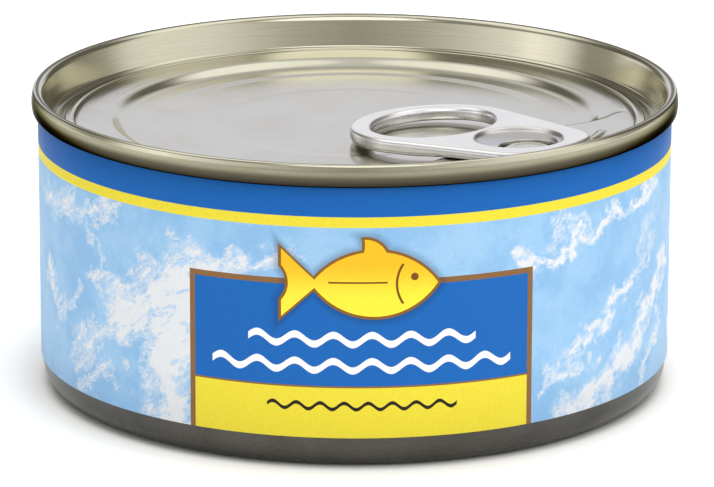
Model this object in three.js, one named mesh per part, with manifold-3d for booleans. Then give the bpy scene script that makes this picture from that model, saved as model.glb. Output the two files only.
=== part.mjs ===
// Shut can of tuna with a ring-pull end. Millimetres, +Z up, foot on z = 0.
import * as THREE from 'three';
import { mergeVertices } from 'three/addons/utils/BufferGeometryUtils.js';
import Module from 'manifold-3d';

const wasm = await Module();
wasm.setup();

const SIDES = 96;
const GAP = 0.02;

// Whole can.
const HEIGHT = 40.85;
const SEAM_R = 43.65;
const WALL_R = 42.5;

// Foot of the drawn body.
const CORNER_R = 3.2;
const FOOT_IN_R = 36.2;
const BASE_PANEL_R = 34.6;
const BASE_PANEL_Z = 0.9;
const BASE_STEP_R = 25.4;
const BASE_MIDDLE_R = 24.0;
const BASE_MIDDLE_Z = 1.35;

// Rolled seam and the sloping wall inside it.
const SEAM_FOOT_Z = 37.8;
const SEAM_FOOT_ROUND = 0.6;
const SEAM_OUT_ROUND = 0.4;
const SEAM_IN_ROUND = 1.2;
const SEAM_IN_R = 42.0;
const WALL_FOOT_R = 41.2;

// Lid, as drops below the top of the seam.
const GROOVE_DROP = 4.85;
const GROOVE_OUT_R = 40.65;
const GROOVE_IN_R = 39.85;
const EDGE_R = 38.95;
const EDGE_DROP = 4.05;
const SCORE_R = 38.0;
const SCORE_DEPTH = 0.12;
const SHOULDER_R = 36.2;
const SHOULDER_FALL = 0.1;
const STEP_TOP_R = 33.3;
const STEP_FOOT_R = 31.2;
const PANEL_DROP = 5.05;
const RING_OUT_R = 27.2;
const RING_DROP = 5.17;
const MIDDLE_R = 18.4;
const MIDDLE_DROP = 5.24;
const JOINT_Z = 34.85;
const JOINT_R = 40.9;

// Seat for the rivet: the lid stays high beyond a straight edge across the tab.
const TAB_TURN = THREE.MathUtils.degToRad(-42.1);
const SEAT_EDGE = 24.5;
const SEAT_SLOPE = 1.5;
const RIB_FROM_AXIS = 34.45;
const RIB_TURN = THREE.MathUtils.degToRad(21.2);
const RIB_LENGTH = 5.6;
const RIB_R = 0.8;
const RIB_RISE = 0.35;

// Rivet.
const RIVET_ALONG = 30.82;
const RIVET_SHANK_R = 2.0;
const RIVET_HEAD_R = 2.92;
const RIVET_TOP_DROP = 3.43;
const RIVET_UNDER_DROP = 3.7;
const BOSS_R = 3.3;
const BOSS_DROP = 3.97;

// Ring-pull tab: s runs from the middle of the ring toward the nose.
const RING_ALONG = 14.69;
const TAB_TOP_DROP = 2.82;
const TAB_PITCH = THREE.MathUtils.degToRad(1.87);
const TAB_THICK = 1.5;
const TAB_ROUND = 0.55;
const TAB_RING_L = 11.1;
const TAB_RING_W = 12.15;
const NOSE_S = 15.5;
const NOSE_L = 7.2;
const NOSE_W = 8.9;
const NOSE_POWER = 2.5;
const TAPER = THREE.MathUtils.degToRad(11);
const HOLE_S = -0.62;
const HOLE_L = 7.48;
const HOLE_W = 9.2;
const POCKET_S = 14.35;
const POCKET_TOP_R = 6.2;
const POCKET_FLOOR_R = 5.3;
const POCKET_DEPTH = 1.0;
const SLOT_R = 4.35;
const ISLAND_R = 3.6;
const ISLAND_TOP_DROP = 3.72;
const ISLAND_FOOT_DROP = BOSS_DROP;
const ISLAND_HOLE_R = 2.25;
const TONGUE_W = 4.4;
const TONGUE_FROM = 2.8;
const TONGUE_TO = 5.9;
const TONGUE_TOP_DROP = 3.35;

// Paper label.
const LABEL_IN_R = 42.58;
const LABEL_OUT_R = 42.83;
const LABEL_FOOT_Z = 4.41;
const LABEL_TOP_Z = 37.7;

const down = (drop) => HEIGHT - drop;

function arc(cx, cz, radius, fromDeg, toDeg, steps) {
  const points = [];
  for (let i = 0; i <= steps; i += 1) {
    const a = THREE.MathUtils.degToRad(fromDeg + ((toDeg - fromDeg) * i) / steps);
    points.push([cx + radius * Math.cos(a), cz + radius * Math.sin(a)]);
  }
  return points;
}

// Turns a list of [radius, height] into a solid of revolution about +Z.
function spin(profile, sides = SIDES) {
  const points = profile.map(([r, z]) => new THREE.Vector2(r, z));
  return new THREE.LatheGeometry(points, sides).rotateX(Math.PI / 2);
}

function bodyProfile() {
  return [
    [0, BASE_MIDDLE_Z],
    [BASE_MIDDLE_R, BASE_MIDDLE_Z],
    [BASE_STEP_R, BASE_PANEL_Z],
    [BASE_PANEL_R, BASE_PANEL_Z],
    [FOOT_IN_R, 0],
    ...arc(WALL_R - CORNER_R, CORNER_R, CORNER_R, -90, 0, 6),
    [WALL_R, SEAM_FOOT_Z - GAP],
    [JOINT_R, JOINT_Z],
    [0, JOINT_Z],
  ];
}

function labelProfile() {
  return [
    [LABEL_IN_R, LABEL_FOOT_Z],
    [LABEL_OUT_R, LABEL_FOOT_Z],
    [LABEL_OUT_R, LABEL_TOP_Z],
    [LABEL_IN_R, LABEL_TOP_Z],
    [LABEL_IN_R, LABEL_FOOT_Z],
  ];
}

// Underside of the lid, round the seam, then inward over the lid to the middle.
function lidProfile() {
  const footIn = SEAM_R - SEAM_FOOT_ROUND;
  const crestOut = SEAM_R - SEAM_OUT_ROUND;
  const crestIn = SEAM_IN_R + SEAM_IN_ROUND;
  return [
    [0, JOINT_Z + GAP],
    [JOINT_R, JOINT_Z + GAP],
    [WALL_R, SEAM_FOOT_Z],
    ...arc(footIn, SEAM_FOOT_Z + SEAM_FOOT_ROUND, SEAM_FOOT_ROUND, -90, 0, 3),
    ...arc(crestOut, HEIGHT - SEAM_OUT_ROUND, SEAM_OUT_ROUND, 0, 90, 3),
    ...arc(crestIn, HEIGHT - SEAM_IN_ROUND, SEAM_IN_ROUND, 90, 180, 5),
    [WALL_FOOT_R, down(EDGE_DROP + 0.3)],
    [GROOVE_OUT_R, down(GROOVE_DROP)],
    [GROOVE_IN_R, down(GROOVE_DROP)],
    [EDGE_R + 0.45, down(EDGE_DROP + 0.25)],
    [EDGE_R, down(EDGE_DROP)],
    [SCORE_R + 0.15, down(EDGE_DROP)],
    [SCORE_R, down(EDGE_DROP + SCORE_DEPTH)],
    [SCORE_R - 0.15, down(EDGE_DROP)],
    [SHOULDER_R, down(EDGE_DROP)],
    [STEP_TOP_R, down(EDGE_DROP + SHOULDER_FALL)],
    [STEP_FOOT_R, down(PANEL_DROP)],
    [RING_OUT_R + 0.5, down(PANEL_DROP)],
    [RING_OUT_R - 0.5, down(RING_DROP)],
    [MIDDLE_R + 0.5, down(RING_DROP)],
    [MIDDLE_R - 0.5, down(MIDDLE_DROP)],
    [0, down(MIDDLE_DROP)],
  ];
}

function toSolid(geometry) {
  const bare = new THREE.BufferGeometry();
  bare.setAttribute('position', geometry.getAttribute('position').clone());
  if (geometry.index) {
    bare.setIndex(geometry.index.clone());
  }
  const welded = mergeVertices(bare, 1e-5);
  const vertProperties = new Float32Array(welded.getAttribute('position').array);
  const triVerts = new Uint32Array(welded.index.array);
  return new wasm.Manifold(new wasm.Mesh({ numProp: 3, vertProperties, triVerts }));
}

function toGeometry(solid) {
  const mesh = solid.getMesh();
  const geometry = new THREE.BufferGeometry();
  geometry.setAttribute('position', new THREE.BufferAttribute(new Float32Array(mesh.vertProperties), 3));
  geometry.setIndex(new THREE.BufferAttribute(new Uint32Array(mesh.triVerts), 1));
  return geometry;
}

// Puts a shape drawn as (along the tab, up) across the lid, centred on the tab's line.
function acrossLid(outline, width) {
  const shape = new THREE.Shape(outline.map(([a, z]) => new THREE.Vector2(a, z)));
  const solid = new THREE.ExtrudeGeometry(shape, { depth: width, bevelEnabled: false });
  const side = new THREE.Vector3(Math.sin(TAB_TURN), -Math.cos(TAB_TURN), 0);
  const along = new THREE.Vector3(Math.cos(TAB_TURN), Math.sin(TAB_TURN), 0);
  solid.translate(0, 0, -width / 2);
  return solid.applyMatrix4(new THREE.Matrix4().makeBasis(along, new THREE.Vector3(0, 0, 1), side));
}

function disc(radius, drop, footDrop, sides = 48, footRadius = radius) {
  const profile = [
    [0, down(footDrop)],
    [footRadius, down(footDrop)],
    [radius, down(drop)],
    [0, down(drop)],
  ];
  return spin(profile, sides);
}

function rivetSeat() {
  const wedge = acrossLid([
    [SEAT_EDGE - SEAT_SLOPE, down(PANEL_DROP + 0.3)],
    [SHOULDER_R + 2, down(PANEL_DROP + 0.3)],
    [SHOULDER_R + 2, down(EDGE_DROP)],
    [SEAT_EDGE, down(EDGE_DROP)],
    [SEAT_EDGE - SEAT_SLOPE, down(PANEL_DROP + 0.05)],
  ], 80);
  const round = disc(SHOULDER_R + 0.3, EDGE_DROP - 1, PANEL_DROP + 0.4, SIDES);
  return toSolid(wedge).intersect(toSolid(round));
}

function rivet() {
  const profile = [
    [0, down(EDGE_DROP + 0.3)],
    [BOSS_R + 0.2, down(EDGE_DROP + 0.3)],
    [BOSS_R + 0.2, down(EDGE_DROP)],
    [BOSS_R, down(BOSS_DROP)],
    [RIVET_SHANK_R, down(BOSS_DROP)],
    [RIVET_SHANK_R, down(RIVET_UNDER_DROP)],
    [RIVET_HEAD_R, down(RIVET_UNDER_DROP)],
    [RIVET_HEAD_R, down(RIVET_TOP_DROP + 0.1)],
    [RIVET_HEAD_R - 0.15, down(RIVET_TOP_DROP)],
    [0, down(RIVET_TOP_DROP)],
  ];
  const x = RIVET_ALONG * Math.cos(TAB_TURN);
  const y = RIVET_ALONG * Math.sin(TAB_TURN);
  return toSolid(spin(profile, 32).translate(x, y, 0));
}

// Short stiffening rib beside the nose of the tab, along the lid's edge; side is 1 or -1.
function rib(side) {
  const body = new THREE.CapsuleGeometry(RIB_R, RIB_LENGTH, 3, 12);
  body.translate(RIB_FROM_AXIS, 0, down(EDGE_DROP - RIB_RISE) - RIB_R);
  body.rotateZ(TAB_TURN + side * RIB_TURN);
  return toSolid(body);
}

function lidGeometry() {
  let solid = toSolid(spin(lidProfile()));
  for (const piece of [rivetSeat(), rivet(), rib(1), rib(-1)]) {
    solid = solid.add(piece);
  }
  return toGeometry(solid);
}

function tabOutline() {
  const points = [];
  const open = Math.PI / 2 - TAPER;
  for (let i = 0; i <= 40; i += 1) {
    const a = open + (2 * (Math.PI - open) * i) / 40;
    points.push(new THREE.Vector2(TAB_RING_L * Math.cos(a), TAB_RING_W * Math.sin(a)));
  }
  for (let i = 0; i <= 24; i += 1) {
    const a = -open + (2 * open * i) / 24;
    const c = Math.cos(a) ** (2 / NOSE_POWER);
    const s = Math.sign(a) * Math.abs(Math.sin(a)) ** (2 / NOSE_POWER);
    points.push(new THREE.Vector2(NOSE_S + NOSE_L * c, NOSE_W * s));
  }
  return points;
}

function tabPlate() {
  const shape = new THREE.Shape(tabOutline());
  const hole = new THREE.Path().absellipse(HOLE_S, 0, HOLE_L, HOLE_W, 0, Math.PI * 2, true);
  shape.holes.push(new THREE.Path(hole.getPoints(44).slice(0, -1)));
  const plate = new THREE.ExtrudeGeometry(shape, {
    depth: TAB_THICK - 2 * TAB_ROUND,
    bevelThickness: TAB_ROUND,
    bevelSize: TAB_ROUND,
    bevelOffset: -TAB_ROUND,
    bevelSegments: 3,
  });
  return plate.translate(0, 0, TAB_ROUND - TAB_THICK);
}

// From the tab's own lengths, top face at z = 0, to its place on the lid.
function seatTab(geometry) {
  geometry.rotateY(-TAB_PITCH);
  geometry.translate(RING_ALONG, 0, down(TAB_TOP_DROP));
  return geometry.rotateZ(TAB_TURN);
}

// A round form, upright in the can, on the rivet's own line.
function onRivet(geometry) {
  const x = RIVET_ALONG * Math.cos(TAB_TURN);
  const y = RIVET_ALONG * Math.sin(TAB_TURN);
  return toSolid(geometry.translate(x, y, 0));
}

function pocket() {
  const profile = [
    [0, -POCKET_DEPTH],
    [POCKET_FLOOR_R, -POCKET_DEPTH],
    [POCKET_TOP_R, 0.3],
    [0, 0.3],
  ];
  return toSolid(seatTab(spin(profile, 48).translate(POCKET_S, 0, 0)));
}

function tabGeometry() {
  const tongue = acrossLid([
    [RIVET_ALONG + TONGUE_FROM, down(ISLAND_FOOT_DROP)],
    [RIVET_ALONG + TONGUE_TO, down(TONGUE_TOP_DROP + 0.2)],
    [RIVET_ALONG + TONGUE_TO, down(TONGUE_TOP_DROP)],
    [RIVET_ALONG + TONGUE_FROM + 1.4, down(TONGUE_TOP_DROP)],
    [RIVET_ALONG + TONGUE_FROM, down(ISLAND_TOP_DROP)],
  ], TONGUE_W);
  const solid = toSolid(seatTab(tabPlate()))
    .subtract(pocket())
    .subtract(onRivet(disc(SLOT_R, 2, 5)))
    .add(onRivet(disc(ISLAND_R, ISLAND_TOP_DROP, ISLAND_FOOT_DROP)))
    .add(toSolid(tongue))
    .subtract(onRivet(disc(ISLAND_HOLE_R, 3, 5)));
  return toGeometry(solid);
}

function piece(name, geometry, color, metalness, roughness) {
  const material = new THREE.MeshStandardMaterial({ color, metalness, roughness });
  const mesh = new THREE.Mesh(geometry, material);
  mesh.name = name;
  return mesh;
}

const can = new THREE.Group();
can.name = 'tuna_can';
can.add(piece('can_body', spin(bodyProfile()), 0x6f6b5b, 0.8, 0.35));
can.add(piece('label', spin(labelProfile()), 0x2f74c8, 0.0, 0.45));
can.add(piece('lid', lidGeometry(), 0xb4b2a0, 0.9, 0.25));
can.add(piece('pull_tab', tabGeometry(), 0xd6d6d4, 0.9, 0.25));

export default can;
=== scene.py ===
"""A shut can of tuna: drawn steel body, paper label, easy-open lid and ring-pull tab."""
import math

import bmesh
import bpy
from mathutils import Matrix, Vector


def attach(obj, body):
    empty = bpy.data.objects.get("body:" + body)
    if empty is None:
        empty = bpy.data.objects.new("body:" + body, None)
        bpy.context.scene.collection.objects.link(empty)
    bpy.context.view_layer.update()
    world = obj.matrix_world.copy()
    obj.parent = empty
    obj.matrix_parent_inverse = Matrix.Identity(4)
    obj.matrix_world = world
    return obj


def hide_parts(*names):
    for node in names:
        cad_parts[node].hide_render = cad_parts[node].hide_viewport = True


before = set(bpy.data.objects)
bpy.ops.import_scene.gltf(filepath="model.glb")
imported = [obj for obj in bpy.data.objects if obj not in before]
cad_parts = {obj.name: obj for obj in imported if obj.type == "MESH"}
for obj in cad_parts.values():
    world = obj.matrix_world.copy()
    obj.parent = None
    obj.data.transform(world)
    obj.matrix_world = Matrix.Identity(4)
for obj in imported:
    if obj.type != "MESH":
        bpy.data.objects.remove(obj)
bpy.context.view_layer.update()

MM = 0.001
MERGE_WITHIN = 1e-7

# Camera: sensor and lens in millimetres, shifts in sensor widths, distances in metres.
SENSOR = 36.0
LENS = 244.25
SHIFT_X = 0.00346
SHIFT_Y = -0.01471
CAMERA_LEVEL = math.radians(15.4256)
CAMERA_ROLL = 0.0024
CAMERA_AWAY = 0.660
AIM_UP = 0.020

# Whole can, in millimetres.
HEIGHT = 40.85
SEAM_R = 43.65
WALL_R = 42.5
CORNER_R = 3.2
JOINT_Z = 34.85
JOINT_R = 40.9
SEAM_FOOT_Z = 37.8

# Foot of the body.
FOOT_OUT_R = 37.6
FOOT_IN_R = 36.2
FOOT_RISE = 0.9
MIDDLE_RISE = 1.35

# Seam: radii of the arcs of its side, foot, crest and inner edge, then the angles in degrees
# at which the side's arc starts and the inner edge's arc ends.
SEAM_SIDE_ARC = 5.3
SEAM_FOOT_ARC = 0.55
SEAM_CREST_ARC = 0.4
SEAM_INNER_ARC = 1.1
SEAM_SIDE_START = -10
SEAM_INNER_END = 166

# Lid: radii, and drops below the top of the seam.
EDGE_DROP = 4.05
EDGE_R = 39.15
WALL_FOOT_R = 41.2
WALL_FOOT_DROP = 4.35
GROOVE_DROP = 4.85
GROOVE_OUT_R = 40.65
GROOVE_IN_R = 39.85
SCORE_R = 38.0
SCORE_DEPTH = 0.12
SHEET_OUT_R = 35.6
SHEET_IN_R = 16.0
SHEET_STEP = 0.28
SHOULDER_R = 36.2
SHOULDER_FALL = 0.1
PANEL_DROP = 5.05
STEP_TOP_R = 33.3
STEP_FOOT_R = 31.2
RING_R = 27.2
RING_DROP = 5.17
MIDDLE_R = 18.4
MIDDLE_DROP = 5.24
RING_SOFT = 0.8

# Rivet and the boss under it.
RIVET_ALONG = 30.82
RIVET_R = 2.92
RIVET_NECK_R = 2.0
RIVET_TOP_DROP = 3.43
RIVET_UNDER_DROP = 3.7
RIVET_DISH = 0.07
BOSS_R = 3.5
BOSS_DROP = 3.97
BOSS_FOOT_DROP = 4.35

# Tab, from the ring's middle: S is a place along it, L a half length, W a half width.
TAB_TURN = math.radians(-42.1)
TAB_PITCH = math.radians(1.87)
RING_ALONG = 14.69
TAB_TOP_DROP = 2.82
TAB_THICK = 1.5
CURL_R = 0.62
RING_L = 11.1
RING_W = 12.15
RING_DEEPER = 0.3
HOLE_S = -0.62
HOLE_L = 7.48
HOLE_W = 9.2
POCKET_S = 14.35
POCKET_L = 6.5
POCKET_W = 6.2
POCKET_FLOOR = 1.1
SLOT_S = 15.95
SLOT_R = 3.9
SLOT_ROUND = 0.12
ISLAND_IN_R = 2.25
ISLAND_OUT_R = 3.45
ISLAND_TOP_DROP = 3.72
TONGUE_SIZE = (3.4, 4.4, 0.42)
TONGUE_RISE = 0.45
TONGUE_AHEAD = 4.2
TONGUE_DROP = 3.77
TAPER = math.radians(11)
NOSE_S = 15.5
NOSE_L = 7.2
NOSE_W = 8.9
NOSE_POWER = 2.5

# Seat under the tab: its edge's distance from the can's axis, how far that edge bends, and its ribs.
SEAT_EDGE = 24.5
SEAT_BEND = 1.7
SEAT_RETURN = 1.1
SEAT_SLOPE = 1.5
RIB_FROM_AXIS = 34.45
RIB_TURN = math.radians(21.2)
RIB_HALF = 2.3
RIB_RISE = 0.35
SEAT_CREASE = 0.13

# Label.
LABEL_IN_R = 42.58
LABEL_OUT_R = 42.83
LABEL_FOOT_Z = 4.41
LABEL_TOP_Z = 37.7
PAPER_EDGE = 0.03


def make_camera():
    """Long lens, 66 cm from the can and 15.4 degrees above level."""
    data = bpy.data.cameras.new("photo_camera")
    data.sensor_width = SENSOR
    data.lens = LENS
    data.shift_x = SHIFT_X
    data.shift_y = SHIFT_Y
    data.clip_start = 0.05
    data.clip_end = 20.0
    camera = bpy.data.objects.new("photo_camera", data)
    bpy.context.scene.collection.objects.link(camera)
    back = -CAMERA_AWAY * math.cos(CAMERA_LEVEL)
    up = AIM_UP + CAMERA_AWAY * math.sin(CAMERA_LEVEL)
    tilt = Matrix.Rotation(math.pi / 2 - CAMERA_LEVEL, 4, "X")
    roll = Matrix.Rotation(CAMERA_ROLL, 4, "Z")
    camera.matrix_world = Matrix.Translation((0.0, back, up)) @ tilt @ roll
    bpy.context.scene.camera = camera


make_camera()


# Shapes.

def arc(centre_r, centre_z, radius, start, end, steps):
    """Points of an arc in the (radius, height) plane, angles in degrees."""
    points = []
    for i in range(steps + 1):
        angle = math.radians(start + (end - start) * i / steps)
        points.append((centre_r + radius * math.cos(angle), centre_z + radius * math.sin(angle)))
    return points


def soften(corners, steps=6):
    """Rounds the corners (radius, height, fillet) of a profile."""
    points = []
    for i, (r, z, fillet) in enumerate(corners):
        if fillet <= 0.0 or i in (0, len(corners) - 1):
            points.append((r, z))
            continue
        here = Vector((r, z))
        back = (Vector(corners[i - 1][:2]) - here).normalized()
        ahead = (Vector(corners[i + 1][:2]) - here).normalized()
        half = back.angle(ahead) / 2
        reach = fillet / math.tan(half)
        start = here + back * reach
        end = here + ahead * reach
        middle = here + (back + ahead).normalized() * (fillet / math.sin(half))
        for k in range(steps + 1):
            ray = (start - middle).lerp(end - middle, k / steps).normalized() * fillet
            points.append(tuple(middle + ray))
    return points


def smooth_step(low, high, value):
    """0 below low, 1 above high, and smooth between."""
    t = min(1.0, max(0.0, (value - low) / (high - low)))
    return t * t * (3.0 - 2.0 * t)


def spin_profile(bm, profile, steps, closed=False):
    """Turns a (radius, height) profile in millimetres about the can's axis."""
    verts = [bm.verts.new((r * MM, 0.0, z * MM)) for r, z in profile]
    pairs = list(zip(verts, verts[1:]))
    if closed:
        pairs.append((verts[-1], verts[0]))
    edges = [bm.edges.new(pair) for pair in pairs]
    bmesh.ops.spin(
        bm, geom=verts + edges, cent=(0, 0, 0), axis=(0, 0, 1), angle=2 * math.pi, steps=steps,
        use_merge=True, use_duplicate=False)


def finish_piece(bm, name, node, finish):
    """Merges, turns the faces outward and hands the piece over in place of its CAD node."""
    bmesh.ops.remove_doubles(bm, verts=bm.verts, dist=MERGE_WITHIN)
    bmesh.ops.recalc_face_normals(bm, faces=bm.faces)
    for face in bm.faces:
        face.smooth = True
    mesh = bpy.data.meshes.new(name)
    bm.to_mesh(mesh)
    bm.free()
    piece = bpy.data.objects.new(name, mesh)
    bpy.context.scene.collection.objects.link(piece)
    piece.data.materials.append(finish)
    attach(piece, "root")
    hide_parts(node)


# Node tools.

class Nodes:
    """A node tree, with short calls for the nodes it needs."""

    def __init__(self, tree):
        self.tree = tree

    def join(self, socket, value):
        if isinstance(value, bpy.types.NodeSocket):
            self.tree.links.new(value, socket)
        else:
            socket.default_value = value

    def math(self, operation, *values):
        node = self.tree.nodes.new("ShaderNodeMath")
        node.operation = operation
        for socket, value in zip(node.inputs, values):
            self.join(socket, value)
        return node.outputs[0]

    def chain(self, operation, first, *others):
        """One operation over two or more values, from left to right."""
        for other in others:
            first = self.math(operation, first, other)
        return first

    def plus(self, *values):
        return self.chain("ADD", *values)

    def minus(self, *values):
        return self.chain("SUBTRACT", *values)

    def times(self, *values):
        return self.chain("MULTIPLY", *values)

    def least(self, *values):
        return self.chain("MINIMUM", *values)

    def most(self, *values):
        return self.chain("MAXIMUM", *values)

    def absolute(self, value):
        return self.math("ABSOLUTE", value)

    def under(self, value, limit):
        """1 where value is less than limit."""
        return self.math("LESS_THAN", value, limit)

    def over(self, value, limit):
        """1 where value is more than limit."""
        return self.math("GREATER_THAN", value, limit)

    def inside(self, value, low, high):
        """1 where value lies between low and high."""
        return self.times(self.over(value, low), self.under(value, high))

    def vector(self, operation, *values):
        node = self.tree.nodes.new("ShaderNodeVectorMath")
        node.operation = operation
        for socket, value in zip(node.inputs, values):
            self.join(socket, value)
        return node.outputs["Value" if operation in ("LENGTH", "DISTANCE", "DOT_PRODUCT") else "Vector"]

    def distance(self, first, second):
        return self.vector("DISTANCE", first, second)

    def scaled(self, value, factor):
        node = self.tree.nodes.new("ShaderNodeVectorMath")
        node.operation = "SCALE"
        self.join(node.inputs[0], value)
        self.join(node.inputs["Scale"], factor)
        return node.outputs["Vector"]

    def split(self, value):
        node = self.tree.nodes.new("ShaderNodeSeparateXYZ")
        self.join(node.inputs[0], value)
        return node.outputs

    def build(self, x, y, z=0.0):
        node = self.tree.nodes.new("ShaderNodeCombineXYZ")
        for socket, value in zip(node.inputs, (x, y, z)):
            self.join(socket, value)
        return node.outputs[0]

    def noise(self, place, scale, detail=3.0, rough=0.55, warp=0.0):
        node = self.tree.nodes.new("ShaderNodeTexNoise")
        self.join(node.inputs["Vector"], place)
        node.inputs["Scale"].default_value = scale
        node.inputs["Detail"].default_value = detail
        node.inputs["Roughness"].default_value = rough
        node.inputs["Distortion"].default_value = warp
        return node.outputs[0]

    def fade(self, value, low, high, start=0.0, end=1.0):
        """Smooth change from start to end as value goes from low to high."""
        node = self.tree.nodes.new("ShaderNodeMapRange")
        node.interpolation_type = "SMOOTHSTEP"
        self.join(node.inputs[0], value)
        for socket, number in zip(list(node.inputs)[1:5], (low, high, start, end)):
            self.join(socket, number)
        return node.outputs[0]

    def mix(self, factor, first, second):
        node = self.tree.nodes.new("ShaderNodeMix")
        node.data_type = "RGBA"
        self.join(node.inputs[0], factor)
        self.join(node.inputs[6], first)
        self.join(node.inputs[7], second)
        return node.outputs[2]

    def mapped(self, place, scale=(1, 1, 1), turn=(0, 0, 0), move=(0, 0, 0)):
        node = self.tree.nodes.new("ShaderNodeMapping")
        self.join(node.inputs["Vector"], place)
        node.inputs["Scale"].default_value = scale
        node.inputs["Rotation"].default_value = turn
        node.inputs["Location"].default_value = move
        return node.outputs[0]


class Finish(Nodes):
    """The node tree of one material, with place as the point on the can in millimetres."""

    def __init__(self, name):
        self.material = bpy.data.materials.new(name)
        self.material.use_nodes = True
        super().__init__(self.material.node_tree)
        self.shader = self.tree.nodes["Principled BSDF"]
        coords = self.tree.nodes.new("ShaderNodeTexCoord").outputs["Object"]
        self.place = self.scaled(coords, 1000.0)

    def bump(self, height, distance):
        """Relief of a height map, with its distance in millimetres."""
        node = self.tree.nodes.new("ShaderNodeBump")
        node.inputs["Strength"].default_value = 0.5
        node.inputs["Distance"].default_value = distance * MM
        self.join(node.inputs["Height"], height)
        self.tree.links.new(node.outputs[0], self.shader.inputs["Normal"])

    def set(self, **values):
        for key, value in values.items():
            self.join(self.shader.inputs[key.replace("_", " ")], value)

    def radius(self):
        x, y, _ = self.split(self.place)
        return self.vector("LENGTH", self.build(x, y))


def rgb(red, green, blue):
    """A colour given in screen values from 0 to 255, as linear light."""
    linear = []
    for value in (red, green, blue):
        c = value / 255.0
        linear.append(c / 12.92 if c <= 0.04045 else ((c + 0.055) / 1.055) ** 2.4)
    return (*linear, 1.0)


# Metal finishes, with the radii and heights in millimetres between which the lid's tints and its painted
# shade change: the seam's side, its crest line and its grazing reflection are painted darker.

WALL_START_R = (40.6, 41.3)
SIDE_START_R = (42.95, 43.2)
SIDE_STOP_Z = (40.22, 39.98)
CREST_IN_R = (42.6, 42.74)
CREST_OUT_R = (43.16, 43.04)
GLANCE_START_R = (43.05, 43.2)
GLANCE_STOP_Z = (40.78, 40.66)
SEAM_DARK_Z = (38.0, 39.2)
SEAM_LIGHT_Z = (38.9, 40.1)
WHITE = (1.0, 1.0, 1.0, 1.0)
# Tint of the grazing reflection on the seam's side: a painted dark reflection.
DARK_GLANCE = (0.1, 0.1, 0.08, 1.0)


def rolled_steel(name):
    """Base of the three steel finishes: rolling grain, faint stains and fine scratches."""
    finish = Finish(name)
    across_grain = finish.mapped(finish.place, scale=(0.05, 6.0, 6.0))
    drawn_out = finish.mapped(finish.place, scale=(7.0, 0.12, 2.0), turn=(0, 0, 0.5))
    finish.grain = finish.noise(across_grain, 1.0, 3.0, 0.6)
    finish.patches = finish.noise(finish.place, 0.12, 3.0, 0.5)
    finish.scratches = finish.fade(finish.noise(drawn_out, 1.0, 2.0, 0.7), 0.68, 0.78)
    return finish


def turned_lines(finish):
    """Fine lines that run round the can, as its seam and its sloping wall have them."""
    x, y, z = finish.split(finish.place)
    angle = finish.times(finish.math("ARCTAN2", finish.absolute(x), y), 5.0)
    place = finish.build(angle, finish.times(finish.radius(), 4.0), finish.times(z, 4.0))
    return finish.noise(place, 1.0, 4.0, 0.65)


def lid_finish():
    """Bright inside the wall, with painted shade: a thin dark line on the crest, and a seam side painted dark
    that darkens further toward its foot.
    """
    finish = rolled_steel("bright_lacquered_tinplate")
    radius = finish.radius()
    _, _, z = finish.split(finish.place)
    lines = turned_lines(finish)
    # Painted shade: the seam's outer side below the crest gets a darker tint in place of the dark
    # surroundings it would mirror.
    outside = finish.times(finish.fade(radius, *SIDE_START_R), finish.fade(z, *SIDE_STOP_Z))
    wall = finish.fade(radius, *WALL_START_R)
    # Painted shade: a thin dark line along the crest's inner edge.
    crest = finish.times(finish.fade(radius, *CREST_IN_R), finish.fade(radius, *CREST_OUT_R))
    panel_tint = finish.mix(finish.fade(finish.patches, 0.35, 0.7), rgb(209, 207, 191), rgb(203, 200, 182))
    wall_tint = finish.mix(finish.fade(lines, 0.25, 0.75), rgb(211, 208, 190), rgb(203, 199, 180))
    # Painted shade on the seam's side, darkest at its foot and lighter toward the crest.
    seam_foot_painted_shade = finish.mix(finish.fade(z, *SEAM_DARK_Z), rgb(52, 47, 39), rgb(88, 84, 70))
    seam_top_painted_shade = finish.mix(finish.fade(lines, 0.3, 0.7), rgb(180, 176, 154), rgb(164, 160, 139))
    seam_painted_shade = finish.mix(finish.fade(z, *SEAM_LIGHT_Z), seam_foot_painted_shade, seam_top_painted_shade)
    color = finish.mix(wall, panel_tint, wall_tint)
    color = finish.mix(finish.times(crest, 0.8), color, rgb(120, 116, 98))
    color = finish.mix(outside, color, seam_painted_shade)
    # Painted dark reflection: the grazing reflection on the seam's side and crest line is tinted dark.
    glance = finish.times(finish.fade(radius, *GLANCE_START_R), finish.fade(z, *GLANCE_STOP_Z))
    glance = finish.most(glance, finish.times(crest, 0.5))
    finish.set(Specular_Tint=finish.mix(glance, WHITE, DARK_GLANCE))
    rough = finish.fade(finish.grain, 0.2, 0.8, 0.12, 0.17)
    rough = finish.plus(rough, finish.times(outside, 0.1), finish.times(finish.scratches, 0.05))
    finish.set(Metallic=1.0, Base_Color=color, Roughness=rough)
    relief = finish.plus(finish.grain, finish.times(finish.patches, 3.0), finish.times(lines, wall, 1.5))
    finish.bump(relief, 0.004)
    return finish.material


def body_finish():
    """Dull lacquered steel, its colour set dark as a painted dark reflection; worn a little lighter where it
    stands.
    """
    finish = rolled_steel("dull_tinplate_painted_dark")
    _, _, z = finish.split(finish.place)
    # Painted dark reflection: the steel's colour is set dark in place of the dark surroundings it would
    # mirror.
    tint = finish.mix(finish.fade(finish.patches, 0.35, 0.7), rgb(82, 80, 76), rgb(74, 72, 67))
    worn = finish.mix(finish.fade(z, 0.05, 0.5), rgb(112, 110, 102), tint)
    color = finish.mix(finish.scratches, worn, rgb(94, 92, 84))
    rough = finish.fade(finish.grain, 0.2, 0.8, 0.24, 0.32)
    finish.set(Metallic=1.0, Base_Color=color, Roughness=rough)
    finish.bump(finish.grain, 0.004)
    return finish.material


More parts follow.
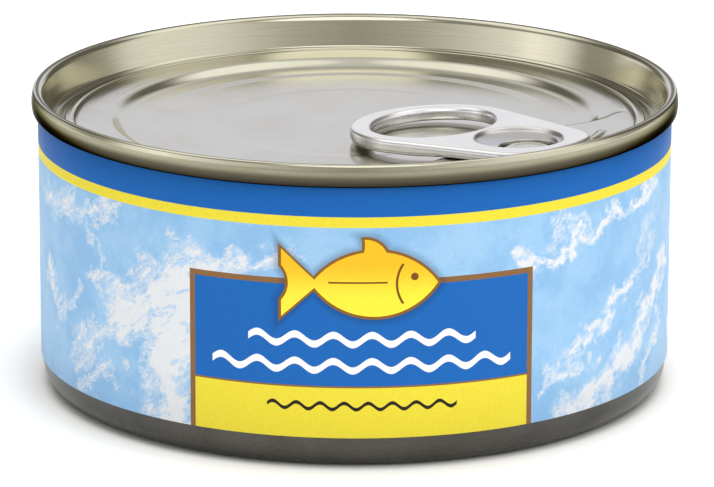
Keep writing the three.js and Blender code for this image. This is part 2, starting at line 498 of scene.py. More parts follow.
def tab_finish():
    """Plain bright steel, softer on the rolled edges, with painted shade greying the pocket."""
    finish = rolled_steel("bright_plain_steel")
    x, y, z = finish.split(finish.place)
    cos, sin = math.cos(TAB_TURN), math.sin(TAB_TURN)
    along = finish.minus(finish.plus(finish.times(x, cos), finish.times(y, sin)), RING_ALONG)
    across = finish.minus(finish.times(y, cos), finish.times(x, sin))
    height = finish.minus(z, HEIGHT - TAB_TOP_DROP, finish.times(along, math.tan(TAB_PITCH)))
    edge = finish.fade(height, -0.02, -0.14)
    from_pocket = finish.vector("LENGTH", finish.build(finish.minus(along, POCKET_S), across))
    # Painted shade: the sunk pocket is tinted grey.
    pocket = finish.times(edge, finish.fade(from_pocket, POCKET_L + 0.1, POCKET_L - 0.2))
    tint = finish.mix(finish.fade(finish.patches, 0.3, 0.7), rgb(249, 247, 234), rgb(242, 240, 227))
    tint = finish.mix(edge, tint, rgb(246, 245, 254))
    tint = finish.mix(pocket, tint, rgb(208, 207, 205))
    color = finish.mix(finish.scratches, tint, rgb(212, 212, 211))
    rough = finish.plus(finish.fade(finish.grain, 0.2, 0.8, 0.12, 0.19), finish.times(edge, 0.14))
    finish.set(Metallic=1.0, Base_Color=color, Roughness=rough)
    finish.bump(finish.grain, 0.005)
    return finish.material


# Label print, laid out on the unrolled wall: across in millimetres round from the front, up from the foot.

PANEL_ACROSS = 1.05
PANEL_HALF = 23.2
PANEL_TOP = 25.6
BORDER = 0.75
BAND_FOOT = 33.85
STRIPE_FOOT = 32.46
SPLIT_Z = 11.27
SPLIT_HALF = 0.12
LAP_WIDTH = 0.22

# Wavy rules: level, half span, swell, length of one wave, thickness.
WHITE_RULES = [(17.6, 14.9, 0.62, 4.97, 0.95), (14.1, 19.9, 0.62, 4.97, 0.95)]
DARK_RULE = (8.7, 12.4, 0.42, 3.1, 0.5)

# Fish: its middle, the radius of its body's two arcs and how far their centres lie above and below.
FISH_ACROSS = 0.4
FISH_UP = 25.0
FISH_ARC = 9.9
FISH_LIFT = 5.6

# Ruled box on the right-hand back.
BOX_TURN = math.radians(118.0)
BOX_HALF = 10.5
BOX_FOOT = 7.0
BOX_TOP = 30.0
BOX_LINE = 0.25
RULE_STEP = 2.25
RULE_HALF = 9.2

BLUE = rgb(30, 99, 178)
YELLOW = rgb(229, 212, 62)
BROWN = rgb(134, 98, 62)
SKY = rgb(136, 181, 223)
SKY_PALE = rgb(153, 193, 229)
FOAM = rgb(218, 221, 227)
INK = rgb(40, 34, 30)
PAPER_WHITE = rgb(236, 238, 241)
HAZE = rgb(188, 208, 231)
# Painted shade along the paper's lap.
LAP_PAINTED_SHADE = rgb(120, 128, 140)
FISH_SHADE = rgb(30, 50, 80)
FISH_LINE = rgb(134, 92, 40)
FISH_MARK = rgb(120, 74, 30)
FISH_LIGHT = rgb(246, 226, 66)
FISH_DEEP = rgb(238, 184, 40)

# Foam streaks on the sea: start, end, half width, strength.
STREAKS = [
    ((-54.0, 28.2), (-36.0, 31.4), 1.6, 0.75),
    ((-22.0, 25.0), (-34.0, 17.0), 3.2, 1.0),
    ((-23.0, 21.0), (-26.0, 13.0), 3.6, 1.1),
    ((-26.0, 14.0), (-25.0, 4.4), 3.0, 1.1),
    ((-26.0, 20.5), (-39.0, 21.5), 1.7, 0.8),
    ((-33.0, 17.5), (-44.0, 9.0), 1.8, 0.7),
    ((-53.0, 18.5), (-49.0, 13.0), 1.4, 0.8),
    ((-49.0, 13.0), (-44.0, 19.0), 1.2, 0.7),
    ((-40.0, 27.5), (-36.0, 24.0), 0.7, 0.6),
    ((-36.0, 9.5), (-43.0, 4.4), 1.5, 0.7),
    ((-22.0, 25.6), (-10.0, 28.8), 1.3, 0.8),
    ((24.5, 25.7), (36.0, 29.3), 1.2, 0.95),
    ((36.0, 29.3), (50.0, 31.9), 1.2, 0.9),
    ((26.0, 29.2), (33.0, 31.5), 0.9, 0.6),
    ((31.0, 4.4), (44.0, 11.0), 2.0, 1.0),
    ((44.0, 11.0), (56.0, 20.0), 1.4, 0.95),
    ((25.0, 8.8), (35.0, 13.2), 1.2, 0.75),
    ((35.0, 14.0), (43.0, 19.5), 1.1, 0.95),
    ((46.0, 5.0), (54.0, 12.5), 1.1, 0.85),
    ((43.0, 19.5), (50.0, 25.5), 1.5, 0.55),
    ((62.0, 8.0), (88.0, 21.0), 2.6, 0.9),
    ((95.0, 26.0), (122.0, 12.0), 2.8, 0.9),
    ((-66.0, 24.0), (-92.0, 10.0), 2.6, 0.9),
    ((-98.0, 8.0), (-124.0, 24.0), 3.0, 0.9),
]


def sea_print(ink, spot):
    """Sea under a pale sky of foam: ragged white streaks over soft blues."""
    wobble = ink.noise(ink.place, 0.16, 4.0, 0.62)
    drawn = flow_place(ink, spot)
    drift_x = ink.noise(ink.place, 0.2, 3.0, 0.6)
    drift_y = ink.noise(ink.mapped(ink.place, move=(31, 7, 5)), 0.24, 3.0, 0.6)
    drift = ink.build(ink.fade(drift_x, 0.2, 0.8, -3.2, 3.2), ink.fade(drift_y, 0.2, 0.8, -2.6, 2.6))
    foam = streak_field(ink, ink.vector("ADD", spot, drift))
    fine = ink.noise(drawn, 0.9, 5.0, 0.7, 0.5)
    ragged = ink.plus(foam, ink.times(ink.minus(fine, 0.5), 1.9))
    core = ink.fade(ragged, 0.7, 0.9)
    haze = ink.fade(ragged, 0.15, 0.75)
    strings = ink.most(ink.times(threads(ink, drawn, 0.42, 0.030), ink.fade(foam, 0.08, 0.5)),
                       ink.times(threads(ink, drawn, 1.1, 0.045), ink.fade(foam, 0.25, 0.75)))
    fleck = ink.fade(ink.noise(ink.place, 1.6, 3.0, 0.6, 0.6), 0.68, 0.74)
    fleck = ink.times(fleck, ink.fade(wobble, 0.45, 0.62))
    water = ink.mix(ink.fade(wobble, 0.36, 0.64), SKY, SKY_PALE)
    water = ink.mix(ink.times(haze, 0.55), water, HAZE)
    white = ink.most(core, ink.times(strings, 0.8), ink.times(fleck, 0.6))
    return ink.mix(white, water, FOAM)


def streak_field(ink, spot):
    """How near a place on the label is to a foam streak: its strength on the line, 0 well away."""
    foam = 0.0
    for start, end, half, strength in STREAKS:
        run = Vector(end) - Vector(start)
        unit = (*run.normalized(), 0.0)
        away = ink.vector("SUBTRACT", spot, (*start, 0.0))
        along = ink.vector("DOT_PRODUCT", away, unit)
        held = ink.least(ink.most(along, 0.0), run.length)
        gap = ink.vector("LENGTH", ink.vector("SUBTRACT", away, ink.scaled(unit, held)))
        foam = ink.most(foam, ink.fade(gap, 0.0, half * 2.1, strength, 0.0))
    return foam


def flow_place(ink, spot):
    """Label place drawn out along the run of the foam, which climbs to the right."""
    run = math.radians(34)
    along = ink.vector("DOT_PRODUCT", spot, (math.cos(run), math.sin(run), 0.0))
    across = ink.vector("DOT_PRODUCT", spot, (-math.sin(run), math.cos(run), 0.0))
    return ink.build(ink.times(along, 0.42), across)


def threads(ink, place, scale, width):
    """Thin crooked lines, where a noise passes through its middle value."""
    field = ink.noise(place, scale, 5.0, 0.62, 1.2)
    return ink.fade(ink.absolute(ink.minus(field, 0.5)), 0.0, width, 1.0, 0.0)


def wave_rule(ink, across, up, level, half_span, swell, length, thick):
    """A level wavy line of even thickness with a stop at each end."""
    crest = ink.times(ink.math("SINE", ink.times(across, 2 * math.pi / length)), swell)
    body = ink.under(ink.absolute(ink.minus(up, level, crest)), thick / 2)
    return ink.times(body, ink.under(ink.absolute(across), half_span))


def fish_badge(ink, across, up, ground):
    """A plain fish in yellow with a brown outline, head to the right."""
    x = ink.minus(across, FISH_ACROSS)
    y = ink.minus(up, FISH_UP)
    here = ink.build(x, y)
    belly = ink.distance(here, (1.2, FISH_LIFT, 0.0))
    back = ink.distance(here, (1.2, -FISH_LIFT, 0.0))
    body = ink.minus(ink.most(back, belly), FISH_ARC)
    spread = ink.plus(ink.times(ink.plus(x, 6.0), 0.92), ink.absolute(y))
    fork = ink.minus(3.4, ink.distance(here, (-13.4, 0.0, 0.0)))
    tail = ink.most(spread, fork, ink.minus(-10.9, x))
    fin = ink.most(ink.minus(ink.distance(here, (0.0, 3.0, 0.0)), 2.9),
                   ink.minus(3.2, ink.distance(here, (-3.3, 5.2, 0.0))))
    shape = ink.least(body, tail, fin)
    color = ink.mix(ink.fade(shape, 0.35, 1.6, 0.4, 0.0), ground, FISH_SHADE)
    color = ink.mix(ink.under(shape, 0.38), color, FISH_LINE)
    gold = ink.mix(ink.fade(y, -2.6, 3.0), FISH_LIGHT, FISH_DEEP)
    color = ink.mix(ink.under(shape, 0.0), color, gold)
    gill = ink.under(ink.absolute(ink.minus(ink.distance(here, (8.6, 0.0, 0.0)), 4.6)), 0.16)
    gill = ink.times(gill, ink.under(body, -0.9), ink.under(x, 6.0))
    line = ink.times(ink.under(ink.absolute(ink.minus(y, 0.2)), 0.12), ink.inside(x, -4.8, 2.8))
    eye = ink.under(ink.distance(here, (6.3, 0.9, 0.0)), 0.5)
    return ink.mix(ink.most(gill, line, eye), color, FISH_MARK)


def label_finish():
    """Printed coated paper: sea, framed panel, bands, ruled box, then the paper's mottle and fibres."""
    ink = Finish("printed_coated_paper")
    x, y, up = ink.split(ink.place)
    front = ink.times(ink.math("ARCTAN2", x, ink.times(y, -1.0)), LABEL_OUT_R)
    across = ink.minus(front, PANEL_ACROSS)
    color = sea_print(ink, ink.build(front, up))
    color = front_panel(ink, across, up, color)
    color = fish_badge(ink, across, up, color)
    color = ink.mix(ink.over(up, STRIPE_FOOT), color, YELLOW)
    color = ink.mix(ink.over(up, BAND_FOOT), color, BLUE)
    color = ruled_box(ink, x, y, up, color)
    # Painted shade: a grey strip along the lap of the paper at the back, with a dent in the bump.
    lap = ink.times(ink.inside(x, 0.0, LAP_WIDTH), ink.over(y, 0.0))
    color = ink.mix(lap, color, LAP_PAINTED_SHADE)
    tone = ink.tree.nodes.new("ShaderNodeHueSaturation")
    ink.join(tone.inputs["Color"], color)
    ink.join(tone.inputs["Value"], ink.fade(ink.noise(ink.place, 5.0, 2.0, 0.7), 0.25, 0.75, 0.93, 1.05))
    rough = ink.fade(ink.noise(ink.place, 1.4, 3.0, 0.6), 0.3, 0.7, 0.36, 0.44)
    ink.set(Base_Color=tone.outputs[0], Roughness=rough, Specular_IOR_Level=0.08)
    fibres = ink.noise(ink.place, 9.0, 2.0, 0.6)
    waviness = ink.noise(ink.place, 0.18, 2.0, 0.5)
    ink.bump(ink.plus(fibres, ink.times(waviness, 6.0), ink.times(lap, -8.0)), 0.008)
    return ink.material


def front_panel(ink, across, up, ground):
    """Brown-framed panel, blue above and yellow below, with its wavy rules."""
    off = ink.absolute(across)
    plate = ink.times(ink.under(off, PANEL_HALF), ink.under(up, PANEL_TOP))
    field = ink.times(ink.under(off, PANEL_HALF - BORDER), ink.under(up, PANEL_TOP - BORDER))
    color = ink.mix(plate, ground, BROWN)
    color = ink.mix(field, color, BLUE)
    color = ink.mix(ink.times(field, ink.under(up, SPLIT_Z + SPLIT_HALF)), color, BROWN)
    color = ink.mix(ink.times(field, ink.under(up, SPLIT_Z - SPLIT_HALF)), color, YELLOW)
    for rule in WHITE_RULES:
        color = ink.mix(wave_rule(ink, across, up, *rule), color, PAPER_WHITE)
    return ink.mix(wave_rule(ink, across, up, *DARK_RULE), color, INK)


def ruled_box(ink, x, y, up, ground):
    """A white box ruled in thin dark lines, on the right-hand back of the label."""
    cos, sin = math.cos(BOX_TURN), math.sin(BOX_TURN)
    side = ink.plus(ink.times(x, cos), ink.times(y, sin))
    ahead = ink.minus(ink.times(x, sin), ink.times(y, cos))
    off = ink.absolute(ink.times(ink.math("ARCTAN2", side, ahead), LABEL_OUT_R))
    foot = BOX_FOOT + BOX_LINE
    border = ink.times(ink.under(off, BOX_HALF), ink.inside(up, BOX_FOOT, BOX_TOP))
    paper = ink.times(ink.under(off, BOX_HALF - BOX_LINE), ink.inside(up, foot, BOX_TOP - BOX_LINE))
    step = ink.math("MODULO", ink.minus(up, foot), RULE_STEP)
    rules = ink.times(paper, ink.inside(step, 0.95, 0.95 + BOX_LINE), ink.under(off, RULE_HALF))
    color = ink.mix(border, ground, INK)
    color = ink.mix(paper, color, PAPER_WHITE)
    return ink.mix(rules, color, INK)


# Pieces.

def make_body():
    bm = bmesh.new()
    lower = soften([
        (0.0, MIDDLE_RISE, 0), (24.0, MIDDLE_RISE, 1.0), (25.4, FOOT_RISE, 1.0), (34.6, FOOT_RISE, 0.8),
        (FOOT_IN_R, 0.0, 0.7), (FOOT_OUT_R, 0.0, 0)])
    outer = arc(WALL_R - CORNER_R, CORNER_R, CORNER_R, -90, 0, 14)
    top = [(WALL_R, SEAM_FOOT_Z - 0.02), (JOINT_R, JOINT_Z), (0.0, JOINT_Z)]
    spin_profile(bm, lower + outer + top, 256)
    finish_piece(bm, "can_body_steel", "can_body", body_finish())


def make_label():
    bm = bmesh.new()
    foot = [(LABEL_IN_R, LABEL_FOOT_Z), (LABEL_OUT_R - PAPER_EDGE, LABEL_FOOT_Z)]
    side = [(LABEL_OUT_R, z) for z in (LABEL_FOOT_Z + PAPER_EDGE, 12.0, 20.0, 28.0, LABEL_TOP_Z - PAPER_EDGE)]
    top = [(LABEL_OUT_R - PAPER_EDGE, LABEL_TOP_Z), (LABEL_IN_R, LABEL_TOP_Z)]
    spin_profile(bm, foot + side + top, 256, closed=True)
    finish_piece(bm, "label_paper", "label", label_finish())


def panel_height(r):
    """Height of the lid's sheet at a radius inside the score, without the tab's seat."""
    drop = EDGE_DROP + SHOULDER_FALL * (1.0 - smooth_step(STEP_TOP_R, SHOULDER_R, r))
    drop += (PANEL_DROP - EDGE_DROP - SHOULDER_FALL) * (1.0 - smooth_step(STEP_FOOT_R, STEP_TOP_R, r))
    drop += (RING_DROP - PANEL_DROP) * (1.0 - smooth_step(RING_R - RING_SOFT, RING_R + RING_SOFT, r))
    drop += (MIDDLE_DROP - RING_DROP) * (1.0 - smooth_step(MIDDLE_R - RING_SOFT, MIDDLE_R + RING_SOFT, r))
    return HEIGHT - drop


def seat_shape(x, y, height):
    """Lifts the sheet to the seat beyond its edge, and raises the two ribs."""
    along = x * math.cos(TAB_TURN) + y * math.sin(TAB_TURN)
    across = abs(-x * math.sin(TAB_TURN) + y * math.cos(TAB_TURN))
    edge = SEAT_EDGE + SEAT_BEND * smooth_step(9.0, 20.0, across)
    edge -= SEAT_RETURN * smooth_step(20.0, 28.0, across)
    seat = smooth_step(edge - SEAT_SLOPE, edge, along)
    height += seat * max(0.0, HEIGHT - EDGE_DROP - height)
    beyond = max(0.0, abs(math.atan2(across, along) - RIB_TURN) * RIB_FROM_AXIS - RIB_HALF)
    radius = math.hypot(x, y)
    rib = math.hypot(radius - RIB_FROM_AXIS, beyond)
    crease = (1.0 - smooth_step(0.0, 0.55, abs(along - edge + 0.3))) * smooth_step(29.0, 32.0, radius)
    return height + RIB_RISE * (1.0 - smooth_step(0.15, 0.8, rib)) - SEAT_CREASE * crease


def seam_profile():
    """The rolled seam: small roll at its foot, slightly bulging side, narrow crest near the outside."""
    start = math.radians(SEAM_SIDE_START)
    middle_z = SEAM_FOOT_Z + SEAM_FOOT_ARC - (SEAM_SIDE_ARC - SEAM_FOOT_ARC) * math.sin(start)
    middle_r = SEAM_R - SEAM_SIDE_ARC
    foot_r = middle_r + (SEAM_SIDE_ARC - SEAM_FOOT_ARC) * math.cos(start)
    lean = math.asin((HEIGHT - SEAM_CREST_ARC - middle_z) / (SEAM_SIDE_ARC - SEAM_CREST_ARC))
    crest_r = middle_r + (SEAM_SIDE_ARC - SEAM_CREST_ARC) * math.cos(lean)
    end = math.degrees(lean)
    points = arc(foot_r, SEAM_FOOT_Z + SEAM_FOOT_ARC, SEAM_FOOT_ARC, -90, SEAM_SIDE_START, 6)
    points += arc(middle_r, middle_z, SEAM_SIDE_ARC, SEAM_SIDE_START, end, 8)[1:]
    points += arc(crest_r, HEIGHT - SEAM_CREST_ARC, SEAM_CREST_ARC, end, 90, 8)[1:]
    return points + arc(crest_r, HEIGHT - SEAM_INNER_ARC, SEAM_INNER_ARC, 90, SEAM_INNER_END, 12)[1:]


def on_tab_line(along):
    """Move to a place on the tab's middle line, by its distance from the can's axis."""
    return Matrix.Translation(Vector((along * math.cos(TAB_TURN), along * math.sin(TAB_TURN), 0.0)) * MM)


def lid_profile():
    """Section of the lid from the axis under it, round the seam and in to the axis again."""
    edge_z = HEIGHT - EDGE_DROP
    groove_z = HEIGHT - GROOVE_DROP
    under = [(0.0, JOINT_Z + 0.02), (JOINT_R, JOINT_Z + 0.02), (WALL_R, SEAM_FOOT_Z)]
    rim = seam_profile()
    wall = soften([
        (*rim[-1], 0), (WALL_FOOT_R, HEIGHT - WALL_FOOT_DROP, 0.35), (GROOVE_OUT_R, groove_z, 0.4),
        (GROOVE_IN_R, groove_z, 0.35), (EDGE_R, edge_z, 0.25), (SCORE_R + 0.4, edge_z, 0)])[1:]
    notch = [(0.15, 0.0), (0.05, 0.08), (0.0, SCORE_DEPTH), (-0.05, 0.08), (-0.15, 0.0)]
    score = [(SCORE_R + off, edge_z - depth) for off, depth in notch + [(-1.0, 0.0), (-1.7, 0.0)]]
    radii = []
    r = SHEET_OUT_R
    while r > SHEET_IN_R:
        radii.append(r)
        r -= SHEET_STEP
    radii += [15.0, 12.0, 8.0, 4.0, 2.0, 0.8, 0.0]
    return under + rim + wall + score + [(r, panel_height(r)) for r in radii]


def make_rivet():
    bm = bmesh.new()
    top = HEIGHT - RIVET_TOP_DROP
    head = HEIGHT - RIVET_UNDER_DROP
    boss = HEIGHT - BOSS_DROP
    foot = HEIGHT - BOSS_FOOT_DROP
    dish = top - RIVET_DISH
    corners = [
        (0.0, foot, 0), (BOSS_R, foot, 0), (BOSS_R, boss - 0.08, 0), (BOSS_R - 0.2, boss, 0),
        (RIVET_NECK_R, boss, 0), (RIVET_NECK_R, head, 0), (RIVET_R, head, 0.08), (RIVET_R, top, 0.12),
        (2.3, top, 0.1), (1.9, dish, 0.2), (0.0, dish, 0)]
    spin_profile(bm, soften(corners, 4), 96)
    return bm


def make_lid():
    bm = bmesh.new()
    spin_profile(bm, lid_profile(), 440)
    for vert in bm.verts:
        x, y, z = vert.co / MM
        if math.hypot(x, y) < SHOULDER_R - 0.2 and z > JOINT_Z + 0.2:
            vert.co.z = seat_shape(x, y, z) * MM
    bmesh.ops.remove_doubles(bm, verts=bm.verts, dist=MERGE_WITHIN)
    join_in(bm, make_rivet(), on_tab_line(RIVET_ALONG))
    finish_piece(bm, "lid_steel", "lid", lid_finish())


def join_in(bm, other, place):
    """Adds another bmesh, moved by place."""
    bmesh.ops.remove_doubles(other, verts=other.verts, dist=MERGE_WITHIN)
    bmesh.ops.transform(other, matrix=place, verts=other.verts)
    spare = bpy.data.meshes.new("spare")
    other.to_mesh(spare)
    other.free()
    bm.from_mesh(spare)
    bpy.data.meshes.remove(spare)


# Tab: flat sheet with rolled edges, drawn with its top at z = 0 and its ring centred on the origin.

def closed_loop(bm, points, z):
    """Edges of a closed loop through points (along, across) at one height."""
    verts = [bm.verts.new((s * MM, t * MM, z * MM)) for s, t in points]
    return [bm.edges.new((a, b)) for a, b in zip(verts, verts[1:] + verts[:1])]


def ordered(edges):
    """The vertices of a closed loop of edges, in order."""
    links = {}
    for edge in edges:
        for vert in edge.verts:
            links.setdefault(vert, []).append(edge.other_vert(vert))
    start = edges[0].verts[0]
    ring = [start]
    before, here = start, links[start][0]
    while here is not start:
        ring.append(here)
        following = [v for v in links[here] if v is not before]
        before, here = here, following[0]
    return ring


def grow(bm, edges, steps):
    """Extrudes a closed loop step by step; each step is (outward, up) in millimetres."""
    for outward, up in steps:
        ring = ordered(edges)
        middle = sum((v.co for v in ring), Vector()) / len(ring)
        shifts = []
        for i, vert in enumerate(ring):
            along = ring[(i + 1) % len(ring)].co - ring[i - 1].co
            side = Vector((along.y, -along.x, 0.0)).normalized()
            if side.dot(vert.co - middle) < 0:
                side.negate()
            shifts.append((vert, side * outward * MM + Vector((0, 0, up * MM))))
        made = bmesh.ops.extrude_edge_only(bm, edges=edges)["geom"]
        new_verts = {g for g in made if isinstance(g, bmesh.types.BMVert)}
        new_edges = [g for g in made if isinstance(g, bmesh.types.BMEdge)]
        edges = [edge for edge in new_edges if all(v in new_verts for v in edge.verts)]
        for vert, shift in shifts:
            for edge in vert.link_edges:
                twin = edge.other_vert(vert)
                if twin in new_verts:
                    twin.co = vert.co + shift
    return edges


def roll(radius, up, outward, steps=7, lead=0.18):
    """Steps of a quarter-round edge that ends flat, then a narrow flat strip."""
    path = []
    for k in range(steps):
        start = math.pi / 2 * k / steps
        end = math.pi / 2 * (k + 1) / steps
        inward = radius * (math.cos(start) - math.cos(end))
        rise = radius * (math.sin(end) - math.sin(start))
        path.append((outward * inward, up * rise))
    path.append((outward * lead, 0.0))
    return path


def tab_outline():
    """Round end of the ring, straight flanks that narrow, and the blunt nose."""
    points = []
    opening = math.pi / 2 - TAPER
    for i in range(90):
        a = opening + 2 * (math.pi - opening) * i / 90
        points.append((RING_L * math.cos(a), RING_W * math.sin(a)))
    nose = []
    for i in range(61):
        a = -opening + 2 * opening * i / 60
        ahead = math.cos(a) ** (2 / NOSE_POWER)
        aside = math.copysign(abs(math.sin(a)) ** (2 / NOSE_POWER), a)
        nose.append((NOSE_S + NOSE_L * ahead, NOSE_W * aside))
    ring_end = Vector((RING_L * math.cos(opening), RING_W * math.sin(opening)))
    flank = [ring_end.lerp(Vector(nose[-1]), i / 12) for i in range(12)]
    points += [(p.x, -p.y) for p in flank]
    points += nose
    points += [(p.x, p.y) for p in reversed(flank[1:])]
    return points


def oval(middle, half_length, half_width, count):
    points = []
    for i in range(count):
        a = 2 * math.pi * i / count
        points.append((middle + half_length * math.cos(a), half_width * math.sin(a)))
    return points


def fill_between(bm, loops):
    """Flat faces between an outer loop of edges and the loops inside it."""
    edges = [edge for loop in loops for edge in loop]
    bmesh.ops.triangle_fill(bm, use_beauty=True, use_dissolve=False, edges=edges)


def tab_sheet():
    """The tab's own sheet: rolled outside and hole, sunk pocket, round slot in the pocket's floor."""
    bm = bmesh.new()
    half = TAB_THICK / 2
    flat = half - CURL_R
    outer = closed_loop(bm, tab_outline(), -half)
    hole = closed_loop(bm, oval(HOLE_S, HOLE_L, HOLE_W, 120), -half)
    slot = closed_loop(bm, oval(SLOT_S, SLOT_R, SLOT_R, 72), -TAB_THICK + 0.1)
    top_outer = grow(bm, outer, [(0, flat)] + roll(CURL_R, 1, -1))
    top_hole = grow(bm, hole, [(0, flat)] + roll(CURL_R, 1, 1))
    foot_outer = grow(bm, outer, [(0, -flat)] + roll(CURL_R, -1, -1))
    foot_hole = grow(bm, hole, [(0, -flat)] + roll(CURL_R, -1, 1))
    slot_rise = TAB_THICK - POCKET_FLOOR - SLOT_ROUND
    floor = grow(bm, slot, [(0, slot_rise)] + roll(SLOT_ROUND, 1, 1, 3, 0.05))
    rim = closed_loop(bm, oval(POCKET_S, POCKET_L, POCKET_W, 96), 0.0)
    lip = grow(bm, rim, [(-0.14, -0.01), (-0.18, -0.04), (-0.16, -0.09), (-0.12, -0.12), (-0.12, -0.12),
                         (-0.14, -0.09), (-0.16, -0.06), (-0.18, -0.04), (-0.1, -0.03)])
    fill_between(bm, [top_outer, top_hole, rim])
    fill_between(bm, [lip, floor])
    fill_between(bm, [foot_outer, foot_hole, slot])
    for vert in bm.verts:
        if vert.co.z < -(half + 0.05) * MM:
            vert.co.z -= RING_DEEPER * (1.0 - smooth_step(4.0, 11.0, vert.co.x / MM)) * MM
    return bm


def tongue_ring():
    """The round end of the tongue, held under the rivet's head."""
    bm = bmesh.new()
    foot = HEIGHT - BOSS_DROP
    top = HEIGHT - ISLAND_TOP_DROP
    spin_profile(bm, soften([
        (ISLAND_IN_R, foot, 0), (ISLAND_OUT_R, foot, 0.05), (ISLAND_OUT_R, top, 0.08),
        (ISLAND_IN_R, top, 0)], 3), 72, closed=True)
    return bm


def tongue_strip():
    """The strip from the ring under the rivet up to the tab's sheet."""
    bm = bmesh.new()
    length, width, thick = TONGUE_SIZE
    size = Matrix.Diagonal((length * MM, width * MM, thick * MM, 1.0))
    bmesh.ops.create_cube(bm, size=1.0, matrix=size)
    for vert in bm.verts:
        if vert.co.x > 0:
            vert.co.z += TONGUE_RISE * MM
    bmesh.ops.bevel(
        bm, geom=bm.edges[:], offset=0.08 * MM, offset_type="OFFSET", segments=3, profile=0.5,
        affect="EDGES", material=-1)
    return bm


def make_tab():
    bm = tab_sheet()
    turn = Matrix.Rotation(TAB_TURN, 4, "Z")
    seat = Matrix.Translation(Vector((RING_ALONG, 0.0, HEIGHT - TAB_TOP_DROP)) * MM)
    tilt = Matrix.Rotation(-TAB_PITCH, 4, "Y")
    bmesh.ops.transform(bm, matrix=turn @ seat @ tilt, verts=bm.verts)
    join_in(bm, tongue_ring(), on_tab_line(RIVET_ALONG))
    strip_seat = Matrix.Translation(Vector((RIVET_ALONG + TONGUE_AHEAD, 0.0, HEIGHT - TONGUE_DROP)) * MM)
    join_in(bm, tongue_strip(), turn @ strip_seat)
    finish_piece(bm, "pull_tab_steel", "pull_tab", tab_finish())


make_body()
make_label()
make_lid()
make_tab()


# Floor, light and air.

UPPER_AIR = (0.32, 0.315, 0.28, 1.0)
GAP_AIR = (0.15, 0.14, 0.12, 1.0)
BEHIND_LOW = (0.2, 0.195, 0.17, 1.0)
BOARD_FOOT = (0.82, 0.815, 0.79, 1.0)
BOARD = (0.84, 0.845, 0.96, 1.0)
BOARD_TOP = (0.66, 0.65, 0.64, 1.0)
ROOF_MIDDLE = (0.76, 0.76, 0.75, 1.0)
ROOF_SIDES = (1.3, 1.29, 1.24, 1.0)
FRONT_BOX = (1.75, 1.74, 1.68, 1.0)
FRONT_TOWARD = (0.05, -0.64, 0.767)
FRONT_EDGE = (math.cos(math.radians(30)), math.cos(math.radians(18)))
WARM_DARK = (1.0, 0.985, 0.86, 1.0)
WARM_BRIGHT = (1.0, 0.99, 0.94, 1.0)
FLOOR_HALF = 4.0

# Soft boxes that light the floor and the label: name, place and size in metres, power in watts.
SOFT_BOXES = [
    ("key_softbox", (0.6, -0.75, 0.95), 0.7, 2.3),
    ("top_softbox", (0.05, -0.05, 1.2), 0.9, 11.0),
]

# Light low down round the can: degrees from the front (left is negative) and brightness.
ROUND_LIGHT = [
    (-180, 0.80), (-166, 0.80), (-158, 0.15), (-146, 0.22), (-136, 0.95), (-122, 0.95), (-112, 0.42),
    (-98, 0.36), (-86, 1.1), (-72, 1.38), (-62, 1.05), (-48, 0.88), (-36, 0.72), (-24, 0.57), (0, 0.40),
    (24, 0.57), (36, 0.73), (48, 0.9), (60, 1.0), (72, 1.05), (84, 1.08), (96, 0.97), (108, 0.48),
    (120, 0.32), (144, 0.13), (158, 0.12), (166, 0.80), (180, 0.80)]
RAMP_TOP = 1.4


def make_floor():
    bm = bmesh.new()
    bmesh.ops.create_grid(bm, x_segments=1, y_segments=1, size=FLOOR_HALF)
    mesh = bpy.data.meshes.new("floor")
    bm.to_mesh(mesh)
    bm.free()
    floor = bpy.data.objects.new("floor", mesh)
    bpy.context.scene.collection.objects.link(floor)
    paint = Finish("pale_floor")
    paint.set(Base_Color=rgb(244, 244, 244), Roughness=0.9, Specular_IOR_Level=0.1)
    mesh.materials.append(paint.material)


def make_softbox(name, place, side, power):
    """A square light that shines on the can but that its steel doesn't mirror."""
    data = bpy.data.lights.new(name, "AREA")
    data.shape = "RECTANGLE"
    data.size = side
    data.size_y = side
    data.energy = power
    light = bpy.data.objects.new(name, data)
    light.visible_glossy = False
    bpy.context.scene.collection.objects.link(light)
    look = Vector((0.0, 0.0, AIM_UP)) - Vector(place)
    light.matrix_world = Matrix.Translation(place) @ look.to_track_quat("-Z", "Y").to_matrix().to_4x4()


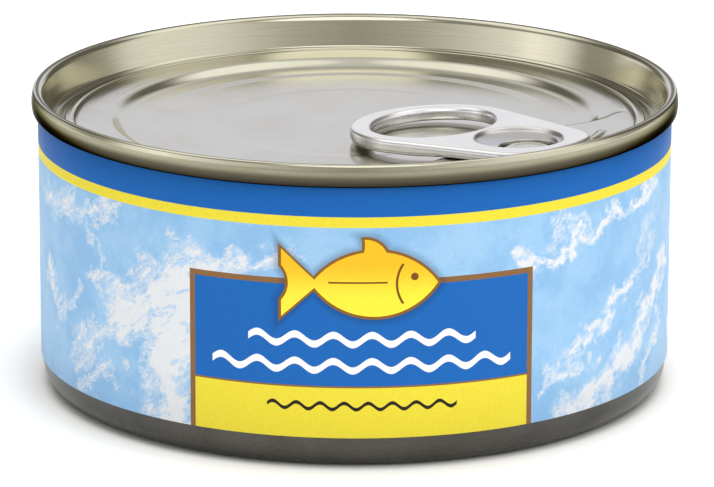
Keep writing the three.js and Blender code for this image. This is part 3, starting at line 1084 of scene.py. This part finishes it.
def round_light(air, azimuth):
    """The light low down, by the direction round the can."""
    node = air.tree.nodes.new("ShaderNodeValToRGB")
    stops = node.color_ramp.elements
    while len(stops) < len(ROUND_LIGHT):
        stops.new(0.5)
    for stop, (degrees, light) in zip(stops, ROUND_LIGHT):
        stop.position = degrees / 360 + 0.5
        stop.color = (*[light / RAMP_TOP] * 3, 1.0)
    air.join(node.inputs[0], air.plus(air.times(azimuth, 1 / 360), 0.5))
    light = air.times(node.outputs[0], RAMP_TOP)
    return air.scaled(air.mix(air.fade(light, 0.35, 1.0), WARM_DARK, WARM_BRIGHT), light)


def make_air():
    """Studio air: a board behind the can, boxes at both sides and high in front, a roof, darker between."""
    world = bpy.data.worlds.new("studio_air")
    bpy.context.scene.world = world
    world.use_nodes = True
    air = Nodes(world.node_tree)
    direction = air.tree.nodes.new("ShaderNodeTexCoord").outputs["Generated"]
    x, y, up = air.split(direction)
    level = air.times(air.math("ARCSINE", up), math.degrees(1))
    azimuth = air.times(air.math("ARCTAN2", x, air.times(y, -1.0)), math.degrees(1))
    off_front = air.absolute(azimuth)
    color = air.mix(air.fade(level, 40.0, 64.0), round_light(air, azimuth), UPPER_AIR)
    left = air.times(air.fade(azimuth, 55.0, 30.0), air.fade(level, 20.0, 32.0))
    color = air.mix(left, color, UPPER_AIR)
    gap = air.times(air.fade(off_front, 100.0, 118.0), air.fade(level, 15.0, 22.0))
    color = air.mix(gap, color, GAP_AIR)
    board = air.mix(air.fade(level, -1.0, 1.0), BEHIND_LOW, BOARD_FOOT)
    board = air.mix(air.fade(level, 4.0, 9.0), board, BOARD)
    board = air.mix(air.fade(level, 18.0, 26.0), board, BOARD_TOP)
    color = air.mix(air.fade(off_front, 156.0, 166.0), color, board)
    roof = air.times(air.fade(level, 38.0, 50.0), air.fade(off_front, 60.0, 110.0))
    roof_tint = air.mix(air.fade(off_front, 156.0, 176.0), ROOF_SIDES, ROOF_MIDDLE)
    color = air.mix(roof, color, roof_tint)
    front = air.fade(air.vector("DOT_PRODUCT", direction, FRONT_TOWARD), *FRONT_EDGE)
    color = air.mix(front, color, FRONT_BOX)
    air.join(air.tree.nodes["Background"].inputs["Color"], color)


make_floor()
for soft_box in SOFT_BOXES:
    make_softbox(*soft_box)
make_air()

bpy.context.scene.view_settings.view_transform = "Standard"
